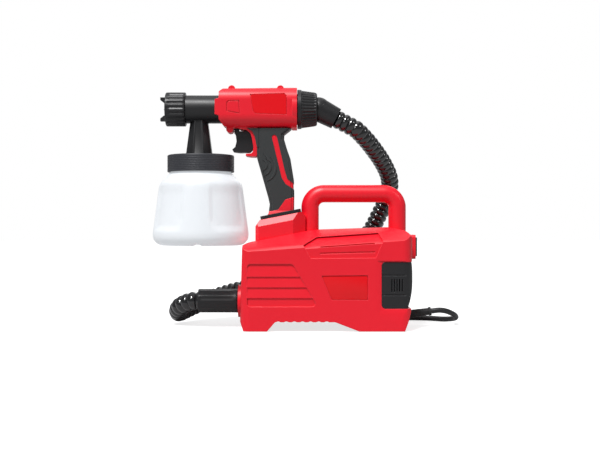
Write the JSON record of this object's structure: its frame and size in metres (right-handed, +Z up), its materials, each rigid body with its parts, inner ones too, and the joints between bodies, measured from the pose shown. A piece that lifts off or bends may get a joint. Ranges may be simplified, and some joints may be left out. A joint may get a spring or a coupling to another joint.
{
  "type": "paint sprayer",
  "caption": "Turbine base unit with carry handle, air filter and gun dock, ribbed air hose, and a pistol spray gun with trigger, air cap and a paint cup under its barrel.",
  "frame": {"origin": "on the floor, under the middle of the box round the sprayer without its leads", "axes": "+Z up, -X towards the gun's nozzle and the outlet, +X towards the filter and the mains lead, Y across the mould joint"},
  "size_m": [0.4023, 0.2507, 0.3116],
  "materials": {
    "red_shell": "satin red moulded plastic",
    "dark_plastic": "fine-textured dark plastic",
    "lid_plastic": "dark grey plastic",
    "grip_rubber": "soft-touch rubber",
    "seal_rubber": "matt rubber",
    "hose_plastic": "glossy ribbed plastic",
    "lead_pvc": "matt PVC lead",
    "cup_plastic": "milky translucent plastic",
    "clear_tube": "natural plastic",
    "light_metal": "cast, as moulded",
    "steel": "plain steel",
    "bright_steel": "polished",
    "brass": "turned",
    "winding": "enamelled copper wire",
    "carbon": "pressed carbon",
    "foam": "open-cell filter foam",
    "block_plastic": "off-white plastic",
    "ptfe": "white low-friction plastic",
    "brush_plastic": "brown moulded resin"
  },
  "bodies": {
    "base": {"base_left_shell": "red_shell", "base_right_shell": "red_shell", "base_screws": "steel", "carry_handle": "red_shell", "dock": "red_shell", "dock_ring": "dark_plastic", "outlet_port": "red_shell", "turbine_casing": "light_metal", "turbine_cover": "light_metal", "diffuser": "dark_plastic", "stator": "steel", "field_windings": "winding", "motor_frame": "light_metal", "motor_bearings": "steel", "brush_holders": "brush_plastic", "carbon_brushes": "carbon", "motor_mounts": "seal_rubber", "filter_foam": "foam", "switch_frame": "dark_plastic", "terminal_block": "block_plastic", "inner_lead": "lead_pvc", "cord_clamp": "dark_plastic", "strain_relief": "lead_pvc", "mains_lead": "lead_pvc", "mains_coil": "lead_pvc", "plug_body": "lead_pvc", "plug_pins": "bright_steel", "air_hose": "hose_plastic"},
    "rotor": {"motor_shaft": "steel", "armature": "steel", "commutator": "winding", "impellers": "light_metal"},
    "filter_door": {"filter_cover": "dark_plastic"},
    "power_rocker": {"rocker": "dark_plastic"},
    "hose_sleeve": {"outlet_sleeve": "dark_plastic"},
    "gun": {"hose_cuff": "dark_plastic", "hose_seal": "seal_rubber", "gun_left_shell": "red_shell", "gun_right_shell": "red_shell", "gun_screws": "steel", "grip_sleeve": "grip_rubber", "barrel": "dark_plastic", "needle_seal": "ptfe", "packing_nut": "brass", "fluid_nozzle": "bright_steel", "trigger_pin": "steel", "trigger_spring": "steel", "cup_lid": "lid_plastic", "lid_gasket": "seal_rubber", "suction_tube": "clear_tube", "valve_cap": "block_plastic", "valve_disc": "seal_rubber"},
    "hose_collar": {"collar_nut": "dark_plastic"},
    "front_nut": {"union_nut": "dark_plastic"},
    "cap": {"air_cap": "dark_plastic"},
    "trigger_lever": {"trigger": "dark_plastic"},
    "paint_needle": {"needle": "bright_steel"},
    "paint_cup": {"cup": "cup_plastic"}
  },
  "joints": [
    {"name": "rotor_spin", "type": "hinge", "parent": "base", "child": "rotor", "pos_m": [0, 0, 0.056], "axis": [1, 0, 0], "continuous": true},
    {"name": "filter_slide", "type": "slide", "parent": "base", "child": "filter_door", "axis": [1, 0, 0], "range_m": [0, 0.045]},
    {"name": "power_switch", "type": "hinge", "parent": "base", "child": "power_rocker", "pos_m": [0.165, 0, 0.1038], "axis": [0, 1, 0], "range_deg": [-14, 0]},
    {"name": "sleeve_lock", "type": "hinge", "parent": "base", "child": "hose_sleeve", "pos_m": [-0.086, 0, 0.0335], "axis": [1, 0, 0], "range_deg": [0, 35]},
    {"name": "gun_lift", "type": "slide", "parent": "base", "child": "gun", "axis": [-0.1908, 0, 0.9816], "range_m": [0, 0.07]},
    {"name": "collar_turn", "type": "hinge", "parent": "gun", "child": "hose_collar", "pos_m": [0.029, 0, 0.282], "axis": [1, 0, 0], "continuous": true},
    {"name": "union_turn", "type": "hinge", "parent": "gun", "child": "front_nut", "pos_m": [-0.141, 0, 0.282], "axis": [1, 0, 0], "continuous": true},
    {"name": "cap_turn", "type": "hinge", "parent": "gun", "child": "cap", "pos_m": [-0.15, 0, 0.282], "axis": [1, 0, 0], "range_deg": [0, 90]},
    {"name": "trigger_pull", "type": "hinge", "parent": "gun", "child": "trigger_lever", "pos_m": [-0.062, 0, 0.296], "axis": [0, -1, 0], "range_deg": [0, 11], "stiffness_Nm_per_rad": 0.8, "springref_deg": -14.32},
    {"name": "needle_slide", "type": "slide", "parent": "gun", "child": "paint_needle", "axis": [1, 0, 0], "range_m": [0, 0.0028]},
    {"name": "cup_turn", "type": "hinge", "parent": "gun", "child": "paint_cup", "pos_m": [-0.1089, 0, 0.16], "axis": [0, 0, 1], "continuous": true}
  ],
  "couplings": [
    {"joint": "needle_slide", "follows": "trigger_pull", "m_per_rad": 0.014}
  ]
}
